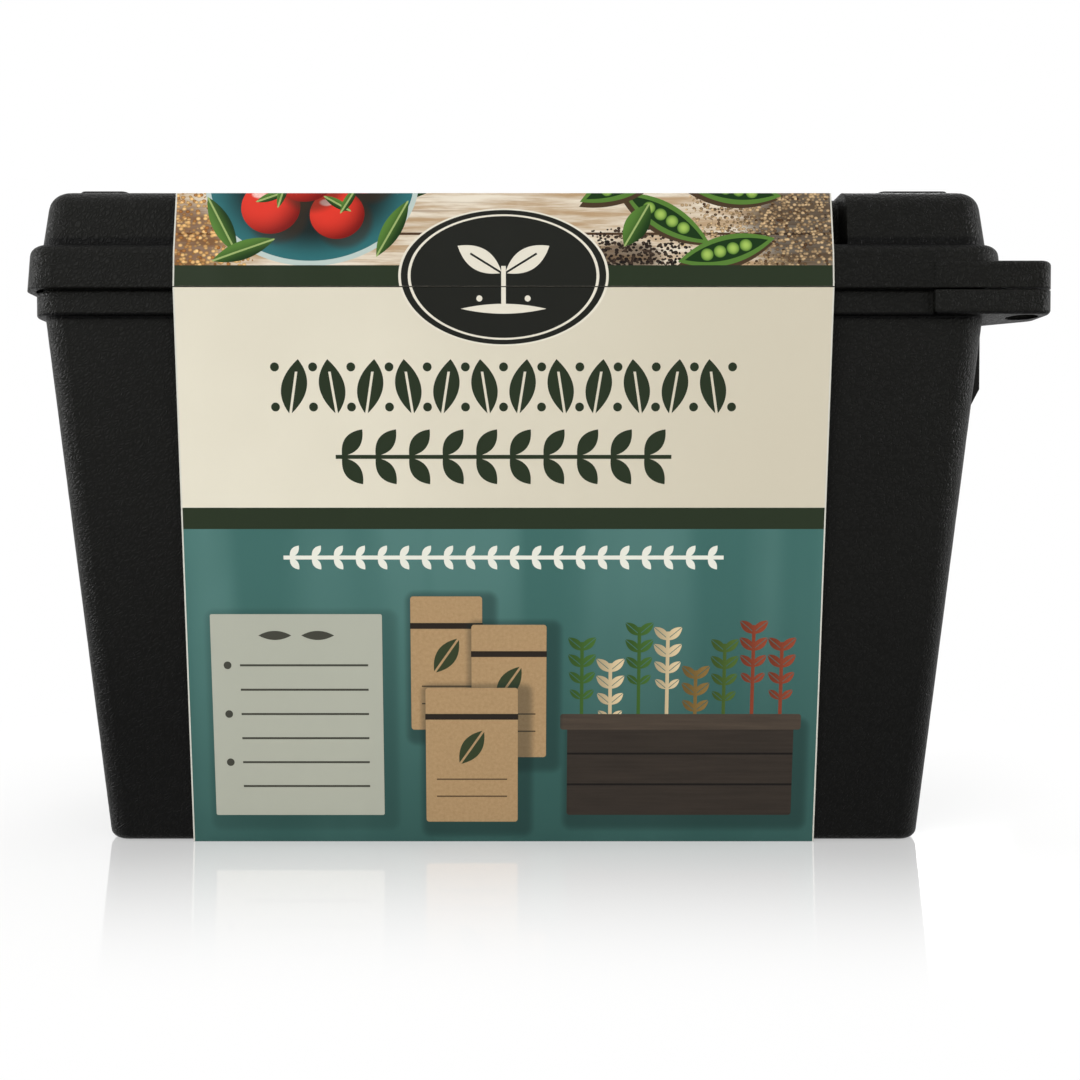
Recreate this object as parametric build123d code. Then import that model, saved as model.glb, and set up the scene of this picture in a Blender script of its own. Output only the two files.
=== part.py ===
"""Garden seed organizer box: a moulded ammo-style can with a hinged lid, a side latch, a folding
carry handle, a printed card sleeve, and a file of card dividers and seed envelopes inside.

Frame: origin on the floor under the middle of the can, +X towards the latch, +Z up, millimetres.
"""
from build123d import *
import os
from math import cos, radians, tan

os.makedirs("parts", exist_ok=True)

# ---------------------------------------------------------------- driving dimensions
# Can
base_length = 234.5
base_depth = 96.0
base_corner_radius = 6.5
rim_corner_radius = 7.0
wall_draft = 5.0
can_wall = 2.3
can_floor = 2.6
base_edge_radius = 3.0
inner_edge_radius = 1.0
seam_height = 154.4
band_height = 6.4
band_step = 1.5
band_edge_radius = 0.7

# Lid
lid_wall = 2.2
seam_gap = 0.6
rim_play_ends = 1.25
rim_play_sides = 1.3
skirt_height = 12.3
skirt_draft = 3.3
skirt_corner_radius = 9.0
shoulder_radius = 3.0
shoulder_width = 3.6
dome_height = 15.7
dome_draft = 6.5
dome_corner_radius = 7.0
dome_top_radius = 5.8
waist_setback = 7.2
waist_gap_left = 0.3
waist_gap_right = 4.8
top_centre_x = -2.9
pad_height = 1.45
pad_corner_radius = 3.0
pad_inner_left = 104.3
pad_inner_right = 104.1
pad_side_margin = 6.2

# Gasket between the lid and the rim
gasket_thickness = 2.4
gasket_gap = 0.3
gasket_play = 0.2
gasket_lip_width = 1.2
gasket_lip_drop = 1.9
lip_overlap = 0.2

# Padlock ears, one pair at each corner of the latch end
ear_reach = 11.75
ear_root_depth = 21.5
ear_tip_depth = 13.0
ear_corner_radius = 4.0
ear_edge_radius = 1.3
ear_thickness = 7.4
ear_ramp_length = 6.0
ear_ramp_start = 19.0
padlock_hole_radius = 4.2
padlock_hole_inset = 6.55
padlock_hole_wall = 1.8

# Hinge
hinge_pin_radius = 1.5
knuckle_radius = 3.8
knuckle_clearance = 0.7
knuckle_count = 5
knuckle_pitch = 8.2
knuckle_gap = 0.4
hinge_drop = 3.2
pressed_clearance = 0.02
running_clearance = 0.05
pin_overhang = 0.8
pin_chamfer = 0.3
lug_bury = 0.5
can_lug_margin = 0.4
lid_lug_rise = 1.0
lid_lug_height = 7.0

# Latch
latch_width = 50.0
latch_drop = 34.0
latch_plate = 2.6
latch_pivot_rise = 6.6
latch_lug_width = 5.0
latch_lug_bury = 0.9
latch_side_gap = 0.4
latch_cheek_depth = 3.9
latch_cheek_wall = 2.2
latch_curl_height = 5.2
latch_curl_inset = 2.7
latch_cheek_slope = 5.0
latch_cheek_top_drop = 2.0
latch_rib_count = 4
latch_rib_pitch = 3.4
latch_rib_radius = 0.9
latch_rib_sink = 0.4
latch_rib_end_gap = 5.0
latch_bead_drop = 17.0
latch_bead_height = 3.0
latch_bead_depth = 1.9
latch_bead_lead_in = 1.5
latch_bead_round = 0.8
snap_clearance = 0.3
catch_height = 4.0
catch_width = 22.0
catch_lead_in = 1.5
catch_undercut = 0.8

# Carry handle, folded into a pocket of the lid
handle_length = 128.0
handle_reach = 48.0
handle_height = 8.0
handle_arm_width = 9.0
handle_grip_width = 12.0
handle_corner_radius = 6.0
handle_edge_radius = 1.5
handle_pivot_y = 10.0
handle_floor_gap = 0.6
handle_side_gap = 0.8
handle_end_gap = 1.2
handle_back_gap = 2.2
pocket_top_gap = 1.4
pocket_corner_radius = 3.0
pocket_draft = 1.5
trunnion_radius = 2.6
trunnion_overrun = 0.4

# Printed card sleeve, cut along the lid seam
sleeve_width = 177.8
sleeve_board = 0.45
sleeve_play = 0.3
sleeve_cut_gap = 0.3
sleeve_shoulder_drop = 2.0
sleeve_window_margin = 2.0
sleeve_roof_gap = 0.05
sleeve_floor_gap = 0.15
relief_depth = 0.8
relief_side_margin = 1.0

# Card dividers and seed envelopes
divider_count = 15
envelope_count = 20
card_width = 84.0
divider_height = 124.0
divider_board = 0.5
card_corner_radius = 3.0
tab_base_width = 24.0
tab_top_width = 18.0
tab_height = 9.0
tab_corner_radius = 1.5
tab_places = 5
envelope_width = 82.5
envelope_height = 115.0
envelope_body = 1.2
envelope_flap = 0.4
envelope_flap_height = 38.0
envelope_flap_taper = 7.0
envelope_flap_start = 4.0
envelope_corner_radius = 1.0
card_gap = 0.4
card_end_gap = 1.4
card_floor_gap = 0.2

# ---------------------------------------------------------------- sizes that follow
draft_slope = tan(radians(wall_draft))
seam_length = base_length + 2 * seam_height * draft_slope
seam_depth = base_depth + 2 * seam_height * draft_slope
band_bottom = seam_height - band_height
band_length = seam_length + 2 * band_step
band_depth = seam_depth + 2 * band_step

skirt_bottom = seam_height + seam_gap
shoulder_height = skirt_bottom + skirt_height
dome_top = shoulder_height + dome_height
skirt_length = seam_length + 2 * (rim_play_ends + lid_wall)
skirt_depth = seam_depth + 2 * (rim_play_sides + lid_wall)
dome_length = skirt_length - 2 * shoulder_width
dome_depth = skirt_depth - 2 * shoulder_width
lid_ceiling = shoulder_height - lid_wall
rim_top = lid_ceiling - gasket_thickness - gasket_gap
waist_low_x = top_centre_x - sleeve_width / 2 - waist_gap_left
waist_high_x = top_centre_x + sleeve_width / 2 + waist_gap_right

hinge_x = -(skirt_length / 2 + knuckle_radius + knuckle_clearance)
hinge_z = seam_height - hinge_drop
latch_x = skirt_length / 2 + knuckle_radius + knuckle_clearance
latch_pivot_height = seam_height + latch_pivot_rise

pocket_length = handle_length + 2 * handle_side_gap
pocket_front = handle_pivot_y - handle_reach - handle_end_gap
pocket_back = handle_pivot_y + handle_height / 2 + handle_back_gap
pocket_floor = dome_top - pocket_top_gap - handle_height - handle_floor_gap
handle_pivot_z = pocket_floor + handle_floor_gap + handle_height / 2


# ---------------------------------------------------------------- shared forms
def drafted(length, depth, radius, low, high, draft, top_radius=None):
    """A rounded block from height low to high that narrows upward by the draft angle."""
    shrink = 2 * (high - low) * tan(radians(draft))
    top_radius = radius if top_radius is None else top_radius
    bottom_face = Pos(0, 0, low) * RectangleRounded(length, depth, radius)
    top_face = Pos(0, 0, high) * RectangleRounded(length - shrink, depth - shrink, top_radius)
    return loft([bottom_face, top_face], ruled=True)


def span(x_low, x_high, y_low, y_high, z_low, z_high):
    """A box between two corners."""
    centre = Pos((x_low + x_high) / 2, (y_low + y_high) / 2, (z_low + z_high) / 2)
    return centre * Box(x_high - x_low, y_high - y_low, z_high - z_low)


def top_edges(solid):
    """The edges round the highest flat face."""
    return solid.faces().sort_by(Axis.Z)[-1].edges()


def across(profile, y_low, y_high):
    """Extrude a profile drawn in X and Z from y_low to y_high."""
    placed = Plane((0, y_high, 0), x_dir=(1, 0, 0), z_dir=(0, -1, 0)) * profile
    return extrude(placed, y_high - y_low)


def rod_along_y(x, z, radius, y_low, y_high):
    """A cylinder along Y."""
    return across(Pos(x, z) * Circle(radius), y_low, y_high)


def lug_profile(x, z, root_x, root_low, root_high):
    """A knuckle round (x, z) blended to a root on the wall at root_x."""
    root = Pos(root_x, (root_low + root_high) / 2) * Rectangle(1.0, root_high - root_low)
    knuckle = Pos(x, z) * Circle(knuckle_radius)
    return make_hull(knuckle.edges() + root.edges())


def ear_profile(side):
    """Plan of a padlock ear at the latch end, on the -Y (side -1) or +Y (side +1) corner."""
    root = skirt_length / 2 - skirt_corner_radius - ear_reach
    tip = skirt_length / 2 + ear_reach
    outer = skirt_depth / 2
    points = [
        (root, outer),
        (tip, outer),
        (tip, outer - ear_tip_depth),
        (skirt_length / 2, outer - ear_root_depth),
        (root, outer - ear_root_depth),
    ]
    plan = make_face(Polyline(*[(x, side * y) for x, y in points], close=True).edges())
    tips = plan.vertices().sort_by(Axis.X)[-2:]
    return fillet(tips, ear_corner_radius)


def padlock_hole(side, low, high):
    """The drill for the padlock shackle through one corner's ears."""
    x = skirt_length / 2 + ear_reach - padlock_hole_inset
    y = side * (skirt_depth / 2 - padlock_hole_wall - padlock_hole_radius)
    return Pos(x, y, (low + high) / 2) * Cylinder(padlock_hole_radius, high - low)


# ---------------------------------------------------------------- can
def can_body():
    """The open can: drafted walls, rim, outer band, feet, catch, hinge knuckles and ears."""
    outer = drafted(base_length, base_depth, base_corner_radius, 0, seam_height, -wall_draft,
                    rim_corner_radius)
    outer = fillet(outer.faces().sort_by(Axis.Z)[0].edges(), base_edge_radius)
    rim = extrude(Pos(0, 0, seam_height) * RectangleRounded(seam_length, seam_depth, rim_corner_radius),
                  rim_top - seam_height)

    wall_x = can_wall / cos(radians(wall_draft))
    inner_length = base_length - 2 * wall_x + 2 * can_floor * draft_slope
    inner_depth = base_depth - 2 * wall_x + 2 * can_floor * draft_slope
    inner = drafted(inner_length, inner_depth, base_corner_radius - can_wall, can_floor, seam_height,
                    -wall_draft, rim_corner_radius - can_wall)
    inner = fillet(inner.faces().sort_by(Axis.Z)[0].edges(), inner_edge_radius)
    mouth = extrude(
        Pos(0, 0, seam_height)
        * RectangleRounded(seam_length - 2 * wall_x, seam_depth - 2 * wall_x,
                           rim_corner_radius - can_wall),
        rim_top - seam_height,
    )

    band = extrude(
        Pos(0, 0, band_bottom)
        * RectangleRounded(band_length, band_depth, rim_corner_radius + band_step),
        band_height,
    )
    band = fillet(band.faces().sort_by(Axis.Z)[0].edges(), band_edge_radius)

    body = outer + rim + band + can_ears() + can_knuckles() + latch_catch()
    body = body - inner - mouth - sleeve_relief()
    for side in (-1, 1):
        body = body - padlock_hole(side, band_bottom - 1, seam_height + 1)
    return body


def sleeve_relief():
    """The shallow hollow across the underside that leaves an end foot on each side of the sleeve."""
    half = sleeve_width / 2 + relief_side_margin
    return span(top_centre_x - half, top_centre_x + half, -base_depth, base_depth, -1, relief_depth)


def can_ears():
    """The lower padlock ears, ramped out from the band to the lid's width."""
    ears = []
    for side in (-1, 1):
        ear = extrude(Pos(0, 0, band_bottom) * ear_profile(side), band_height)
        ramp_end = skirt_length / 2 - ear_ramp_start + ear_ramp_length
        ramp_start = ramp_end - ear_ramp_length
        outer = side * skirt_depth / 2
        band_face = side * band_depth / 2
        inside = side * (skirt_depth / 2 - ear_root_depth)
        ramp = make_face(
            Polyline((ramp_start, band_face), (ramp_end, outer), (ramp_end + ear_reach, outer),
                     (ramp_end + ear_reach, inside), (ramp_start, inside), close=True).edges()
        )
        ear = ear + extrude(Pos(0, 0, band_bottom) * ramp, band_height)
        ears.append(fillet(ear.faces().sort_by(Axis.Z)[0].edges(), ear_edge_radius))
    return ears[0] + ears[1]


def knuckle_spans(first):
    """The Y spans of every second hinge knuckle, counted from first."""
    start = -knuckle_count * knuckle_pitch / 2
    for place in range(first, knuckle_count, 2):
        low = start + place * knuckle_pitch + knuckle_gap / 2
        yield low, low + knuckle_pitch - knuckle_gap


def can_knuckles():
    """The can's hinge knuckles, bored for a pressed pin."""
    profile = lug_profile(hinge_x, hinge_z, -band_length / 2 + lug_bury, band_bottom + can_lug_margin,
                          seam_height - can_lug_margin)
    profile = profile - Pos(hinge_x, hinge_z) * Circle(hinge_pin_radius + pressed_clearance)
    return Compound(children=[across(profile, low, high) for low, high in knuckle_spans(0)])


def latch_catch():
    """The nose on the band that the latch bead snaps under."""
    nose_x = latch_x + knuckle_radius - latch_plate - latch_bead_depth - snap_clearance
    top = latch_pivot_height - latch_bead_drop + latch_bead_height + snap_clearance + catch_height
    low = top - catch_height
    root_x = band_length / 2 - lug_bury
    profile = make_face(
        Polyline((root_x, top), (nose_x - catch_lead_in, top), (nose_x, top - catch_lead_in),
                 (nose_x, low + catch_undercut), (root_x, low), close=True).edges()
    )
    return across(profile, -catch_width / 2, catch_width / 2)


# ---------------------------------------------------------------- lid
def dome_form(inset):
    """The dome's outside (inset 0), or its hollow at a wall's thickness inside."""
    low = shoulder_height if inset == 0 else lid_ceiling
    high = dome_top - inset
    slack = 2 * inset
    full = drafted(dome_length - slack, dome_depth - slack, dome_corner_radius - inset, low, high,
                   dome_draft)
    full = fillet(top_edges(full), dome_top_radius - inset)
    waist = drafted(dome_length - slack, dome_depth - slack - 2 * waist_setback,
                    dome_corner_radius - inset, low, high, dome_draft)
    waist = fillet(top_edges(waist), dome_top_radius - inset)
    reach = skirt_length
    left_end = full & span(-reach, waist_low_x - inset, -reach, reach, 0, reach)
    right_end = full & span(waist_high_x + inset, reach, -reach, reach, 0, reach)
    overlap = inset + shoulder_width
    middle = waist & span(waist_low_x - overlap, waist_high_x + overlap, -reach, reach, 0, reach)
    return middle + left_end + right_end


def lid_pads():
    """The two raised stacking pads on the ends of the dome."""
    flat_half = dome_length / 2 - dome_height * tan(radians(dome_draft)) - dome_top_radius
    depth = dome_depth - 2 * (dome_height * tan(radians(dome_draft)) + pad_side_margin)
    pads = []
    for low, high in ((-flat_half, top_centre_x - pad_inner_left),
                      (top_centre_x + pad_inner_right, flat_half)):
        plan = Pos((low + high) / 2, 0, dome_top) * RectangleRounded(high - low, depth, pad_corner_radius)
        pads.append(extrude(plan, pad_height, taper=45))
    return pads[0] + pads[1]


def pocket(margin, low):
    """The handle pocket, or its pan when margin is the wall."""
    length = pocket_length + 2 * margin
    depth = pocket_back - pocket_front + 2 * margin
    block = drafted(length, depth, pocket_corner_radius, low, dome_top + 1, -pocket_draft)
    return Pos(top_centre_x, (pocket_front + pocket_back) / 2) * block


def lid_shell():
    """The moulded lid: skirt, stepped dome, handle pocket, gasket lip, lugs and ears."""
    skirt = drafted(skirt_length, skirt_depth, skirt_corner_radius, skirt_bottom, shoulder_height,
                    skirt_draft)
    skirt = fillet(top_edges(skirt), shoulder_radius)
    outside = skirt + dome_form(0) + lid_pads()

    skirt_hollow = drafted(skirt_length - 2 * lid_wall, skirt_depth - 2 * lid_wall,
                           skirt_corner_radius - lid_wall, skirt_bottom, lid_ceiling, 0)
    hollow = skirt_hollow + (dome_form(lid_wall) - pocket(lid_wall, pocket_floor - lid_wall))
    shell = outside - hollow - pocket(0, pocket_floor)

    for side in (-1, 1):
        ear = extrude(Pos(0, 0, skirt_bottom) * ear_profile(side), ear_thickness)
        ear = fillet(top_edges(ear), ear_edge_radius)
        shell = shell + (ear - skirt_hollow)
        shell = shell - padlock_hole(side, skirt_bottom - 1, skirt_bottom + ear_thickness + 1)

    return shell + lid_knuckles() + latch_lugs() + gasket_lip() - trunnion_holes()


def gasket_lip():
    """The thin wall that keeps the gasket against the shoulder."""
    length = dome_length - 2 * (lid_wall - lip_overlap)
    depth = dome_depth - 2 * (lid_wall - lip_overlap)
    radius = dome_corner_radius - lid_wall
    low = lid_ceiling - gasket_lip_drop
    ring = RectangleRounded(length, depth, radius) - RectangleRounded(
        length - 2 * gasket_lip_width, depth - 2 * gasket_lip_width, radius - gasket_lip_width)
    return extrude(Pos(0, 0, low) * ring, gasket_lip_drop + lid_wall)


def lid_knuckles():
    """The lid's hinge knuckles, bored to run on the pin."""
    low = skirt_bottom + lid_lug_rise
    profile = lug_profile(hinge_x, hinge_z, -skirt_length / 2 + lug_bury, low, low + lid_lug_height)
    profile = profile - Pos(hinge_x, hinge_z) * Circle(hinge_pin_radius + running_clearance)
    return Compound(children=[across(profile, low, high) for low, high in knuckle_spans(1)])


def latch_lugs():
    """The two lugs that hold the latch pin."""
    profile = lug_profile(latch_x, latch_pivot_height, skirt_length / 2 - latch_lug_bury,
                          skirt_bottom + lid_lug_rise, shoulder_height - shoulder_radius)
    profile = profile - Pos(latch_x, latch_pivot_height) * Circle(hinge_pin_radius + pressed_clearance)
    near = latch_width / 2 + latch_side_gap
    far = near + latch_lug_width
    return across(profile, near, far) + across(profile, -far, -near)


def trunnion_holes():
    """The holes in the pocket ends that carry the handle."""
    reach = pocket_length / 2 + 2 * lid_wall
    drill = Cylinder(trunnion_radius + running_clearance, 2 * reach)
    return Pos(top_centre_x, handle_pivot_y, handle_pivot_z) * Rot(0, 90, 0) * drill


def lid_gasket():
    """The rubber ring under the lid's shoulder."""
    length = skirt_length - 2 * (lid_wall + gasket_play)
    depth = skirt_depth - 2 * (lid_wall + gasket_play)
    radius = skirt_corner_radius - lid_wall - gasket_play
    width = shoulder_width - 2 * gasket_play - lip_overlap
    ring = RectangleRounded(length, depth, radius) - RectangleRounded(
        length - 2 * width, depth - 2 * width, radius - width)
    return extrude(Pos(0, 0, rim_top + gasket_gap) * ring, gasket_thickness - pressed_clearance)


# ---------------------------------------------------------------- pins, latch and handle
def pin_along_y(x, z, half_length):
    """A steel pin with chamfered ends."""
    pin = rod_along_y(x, z, hinge_pin_radius, -half_length, half_length)
    ends = pin.edges().filter_by(GeomType.CIRCLE)
    return chamfer(ends, pin_chamfer)


def hinge_pin():
    """The pin through the five hinge knuckles."""
    return pin_along_y(hinge_x, hinge_z, knuckle_count * knuckle_pitch / 2 + pin_overhang)


def latch_pin():
    """The pin that the latch swings on."""
    half = latch_width / 2 + latch_side_gap + latch_lug_width + pin_overhang
    return pin_along_y(latch_x, latch_pivot_height, half)


def latch_lever():
    """The latch cover: a knuckle, a plate with side cheeks, a curled end and a snap bead."""
    outer_x = latch_x + knuckle_radius
    inner_x = outer_x - latch_plate
    bottom = latch_pivot_height - latch_drop
    curl_top = bottom + latch_curl_height
    plate = make_face(
        Polyline((outer_x, latch_pivot_height), (outer_x, curl_top),
                 (outer_x - latch_curl_inset, bottom), (inner_x - latch_curl_inset, bottom),
                 (inner_x, curl_top), (inner_x, latch_pivot_height), close=True).edges()
    )
    root_x = inner_x + lug_bury
    bead_x = inner_x - latch_bead_depth
    bead_low = latch_pivot_height - latch_bead_drop
    bead_high = bead_low + latch_bead_height
    bead = make_face(
        Polyline((root_x, bead_low - latch_bead_lead_in), (bead_x, bead_low + latch_bead_round),
                 (bead_x, bead_high - latch_bead_round), (root_x, bead_high), close=True).edges()
    )
    knuckle = Pos(latch_x, latch_pivot_height) * Circle(knuckle_radius)
    half = latch_width / 2
    lever = across(plate + knuckle, -half, half)
    lever = lever + across(bead, -half + latch_cheek_wall, half - latch_cheek_wall)

    cheek_x = inner_x - latch_cheek_depth
    cheek = make_face(
        Polyline((root_x, latch_pivot_height), (root_x, curl_top), (inner_x, curl_top),
                 (cheek_x, curl_top + latch_cheek_slope),
                 (cheek_x, latch_pivot_height - latch_cheek_top_drop),
                 (latch_x, latch_pivot_height), close=True).edges()
    )
    lever = lever + across(cheek, half - latch_cheek_wall, half)
    lever = lever + across(cheek, -half, -half + latch_cheek_wall)
    rib_half = half - latch_rib_end_gap
    for place in range(latch_rib_count):
        rib_z = curl_top + (place + 1) * latch_rib_pitch
        lever = lever + rod_along_y(outer_x - latch_rib_sink, rib_z, latch_rib_radius, -rib_half, rib_half)
    bore = rod_along_y(latch_x, latch_pivot_height, hinge_pin_radius + running_clearance,
                       -latch_width, latch_width)
    return lever - bore


def handle():
    """The folding bail: two arms, a grip and two trunnions, lying flat in its pocket."""
    front = handle_pivot_y - handle_reach
    half = handle_length / 2
    bottom = handle_pivot_z - handle_height / 2
    frame = RectangleRounded(handle_length, 2 * handle_reach, handle_corner_radius)
    opening = RectangleRounded(handle_length - 2 * handle_arm_width,
                               2 * (handle_reach - handle_grip_width), handle_corner_radius / 2)
    plan = (frame - opening) & Pos(0, -handle_reach) * Rectangle(2 * handle_length, 2 * handle_reach)
    bail = extrude(Pos(top_centre_x, handle_pivot_y, bottom) * plan, handle_height)
    grip_edges = bail.edges().filter_by(Axis.X).filter_by(lambda edge: edge.length > handle_length / 2)
    bail = fillet(grip_edges, handle_edge_radius)

    for side in (-1, 1):
        arm_outer = top_centre_x + side * half
        arm_inner = arm_outer - side * handle_arm_width
        eye = Pos((arm_outer + arm_inner) / 2, handle_pivot_y, handle_pivot_z) * Rot(0, 90, 0)
        bail = bail + eye * Cylinder(handle_height / 2, handle_arm_width)
        reach = handle_side_gap + lid_wall + trunnion_overrun
        stub = Pos(arm_outer + side * (reach - 1) / 2, handle_pivot_y, handle_pivot_z) * Rot(0, 90, 0)
        bail = bail + stub * Cylinder(trunnion_radius, reach + 1)
    return bail


# ---------------------------------------------------------------- card sleeve
def sleeve_band(points):
    """A strip of board round the closed outline of (y, z) points, across the sleeve's width."""
    outline = make_face(Polyline(*points, close=True).edges())
    strip = outline - offset(outline, -sleeve_board, kind=Kind.INTERSECTION)
    placed = Plane((top_centre_x - sleeve_width / 2, 0, 0), x_dir=(0, 1, 0), z_dir=(1, 0, 0)) * strip
    return extrude(placed, sleeve_width)


def sleeve_half_depth(height):
    """Half the depth of the lower sleeve at a height, from the lid's width down to the base."""
    top = skirt_depth / 2 + sleeve_play + sleeve_board
    bottom = base_depth / 2 + sleeve_play + sleeve_board
    share = (height - sleeve_floor_gap) / (skirt_bottom - sleeve_floor_gap)
    return bottom + (top - bottom) * share


def sleeve_lower():
    """The part of the sleeve below the seam: front, underside and back in one creased strip."""
    above = skirt_bottom + 10
    points = [
        (-sleeve_half_depth(above), above),
        (-sleeve_half_depth(sleeve_floor_gap), sleeve_floor_gap),
        (sleeve_half_depth(sleeve_floor_gap), sleeve_floor_gap),
        (sleeve_half_depth(above), above),
    ]
    reach = skirt_length
    return sleeve_band(points) & span(-reach, reach, -reach, reach, -1, skirt_bottom - sleeve_cut_gap / 2)


def sleeve_upper():
    """The part of the sleeve on the lid, with a die-cut window over the handle."""
    low = skirt_bottom - 10
    outer = skirt_depth / 2 + sleeve_play + sleeve_board
    bend_z = shoulder_height - shoulder_radius
    bend_y = outer - (bend_z - skirt_bottom) * tan(radians(skirt_draft))
    crease_z = dome_top - sleeve_shoulder_drop
    crease_y = outer - shoulder_width
    flat_y = dome_depth / 2 - waist_setback - dome_top_radius
    roof = dome_top + sleeve_board + sleeve_roof_gap
    back = [(outer, low), (outer, skirt_bottom), (bend_y, bend_z), (crease_y, crease_z), (flat_y, roof)]
    points = [(-y, z) for y, z in back] + back[::-1]
    reach = skirt_length
    band = sleeve_band(points) & span(-reach, reach, -reach, reach,
                                      skirt_bottom + sleeve_cut_gap / 2, dome_top + 5)
    margin = sleeve_window_margin
    window = Pos(top_centre_x, (pocket_front + pocket_back) / 2, dome_top - 1) * RectangleRounded(
        pocket_length + 2 * margin, pocket_back - pocket_front + 2 * margin,
        pocket_corner_radius + margin)
    return band - extrude(window, 5)


# ---------------------------------------------------------------- dividers and envelopes
def divider(place):
    """One card divider, its tab at one of the staggered places."""
    card = Pos(0, divider_height / 2) * RectangleRounded(card_width, divider_height, card_corner_radius)
    step = (card_width - tab_base_width - 2 * card_corner_radius) / (tab_places - 1)
    tab_y = (place % tab_places - (tab_places - 1) / 2) * step
    tab = make_face(
        Polyline((tab_y - tab_base_width / 2, divider_height - 1),
                 (tab_y - tab_base_width / 2, divider_height),
                 (tab_y - tab_top_width / 2, divider_height + tab_height),
                 (tab_y + tab_top_width / 2, divider_height + tab_height),
                 (tab_y + tab_base_width / 2, divider_height),
                 (tab_y + tab_base_width / 2, divider_height - 1), close=True).edges()
    )
    tab = fillet(tab.vertices().sort_by(Axis.Y)[-2:], tab_corner_radius)
    return extrude(Plane.YZ * (card + tab), divider_board)


def envelope():
    """One flat seed envelope with its flap folded down over the front."""
    body = Pos(0, envelope_height / 2) * RectangleRounded(envelope_width, envelope_height,
                                                          envelope_corner_radius)
    half = envelope_width / 2
    flap_low = envelope_height - envelope_flap_height
    flap_start = envelope_height - envelope_flap_start
    flap = make_face(
        Polyline((-half, envelope_height), (-half, flap_start),
                 (-half + envelope_flap_taper, flap_low), (half - envelope_flap_taper, flap_low),
                 (half, flap_start), (half, envelope_height), close=True).edges()
    )
    flap = fillet(flap.vertices().sort_by(Axis.Y)[:2], card_corner_radius)
    packet = extrude(Plane.YZ * body, envelope_body)
    layer = extrude(Plane.YZ * flap & Plane.YZ * body, envelope_flap)
    return packet + Pos(envelope_body, 0, 0) * layer


def card_file():
    """The nodes of the card file in order from the hinge end, each with its own lean and place."""
    wall_x = can_wall / cos(radians(wall_draft))
    end = -(base_length / 2 - wall_x + can_floor * draft_slope)
    x = end + card_end_gap
    lean = Rot(0, -wall_draft, 0)
    seat = can_floor + card_floor_gap
    nodes = {}
    envelopes_done = 0
    for place in range(divider_count):
        nodes[f"divider_{place + 1:02d}"] = Pos(x, 0, seat) * lean * divider(place)
        x += divider_board / cos(radians(wall_draft)) + card_gap
        envelopes_due = (place + 1) * envelope_count // divider_count
        for number in range(envelopes_done, envelopes_due):
            nodes[f"envelope_{number + 1:02d}"] = Pos(x, 0, seat) * lean * envelope()
            x += (envelope_body + envelope_flap) / cos(radians(wall_draft)) + card_gap
        envelopes_done = envelopes_due
    return nodes


# ---------------------------------------------------------------- build and write
nodes = {
    "can_body": can_body(),
    "lid_shell": lid_shell(),
    "lid_gasket": lid_gasket(),
    "hinge_pin": hinge_pin(),
    "latch_lever": latch_lever(),
    "latch_pin": latch_pin(),
    "handle": handle(),
    "sleeve_upper": sleeve_upper(),
    "sleeve_lower": sleeve_lower(),
}
nodes.update(card_file())

for name, shape in nodes.items():
    export_step(shape, f"parts/{name}.step")
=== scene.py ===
# %% [markdown]
# # A garden seed organizer box
# The object is a moulded black can with a hinged lid, a side latch and a folding handle. A printed
# card sleeve goes round its middle, and a file of kraft dividers and envelopes stands inside.
# Its shapes are exact solids already, so this lesson leaves them as they are and gives every
# surface its finish. Redrawing them as new meshes would only make them less exact.

import math

import bpy
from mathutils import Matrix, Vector


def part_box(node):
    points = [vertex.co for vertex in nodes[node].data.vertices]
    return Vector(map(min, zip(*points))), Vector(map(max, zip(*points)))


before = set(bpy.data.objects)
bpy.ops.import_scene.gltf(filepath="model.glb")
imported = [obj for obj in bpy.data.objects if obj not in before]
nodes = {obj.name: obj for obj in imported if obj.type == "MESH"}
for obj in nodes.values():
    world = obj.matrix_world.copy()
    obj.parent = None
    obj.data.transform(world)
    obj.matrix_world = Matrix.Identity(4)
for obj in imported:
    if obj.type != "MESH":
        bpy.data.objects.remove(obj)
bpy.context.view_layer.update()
per_metre = 1000.0  # millimetres

# %% [markdown]
# ## Sums on sockets
# A finish is a tree of nodes. Wired by hand, a mask such as 1 - x * x takes many lines, so one small
# class wraps a socket and makes a node for each operator. Plain values become Math nodes. Colours
# and vectors would lose their parts there, so they go to Mix and Vector Math instead. Where a plain
# number stands on the left, Python asks for the reflected form, so the operators come in pairs.

# %% A socket that can be used in sums
def operator_pair(operation):
    """An operator for mask - 1, and its reflected form for 1 - mask."""
    def plain(self, other):
        return self.sum(operation, self, other)

    def reflected(self, other):
        return self.sum(operation, other, self)

    return plain, reflected


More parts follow.
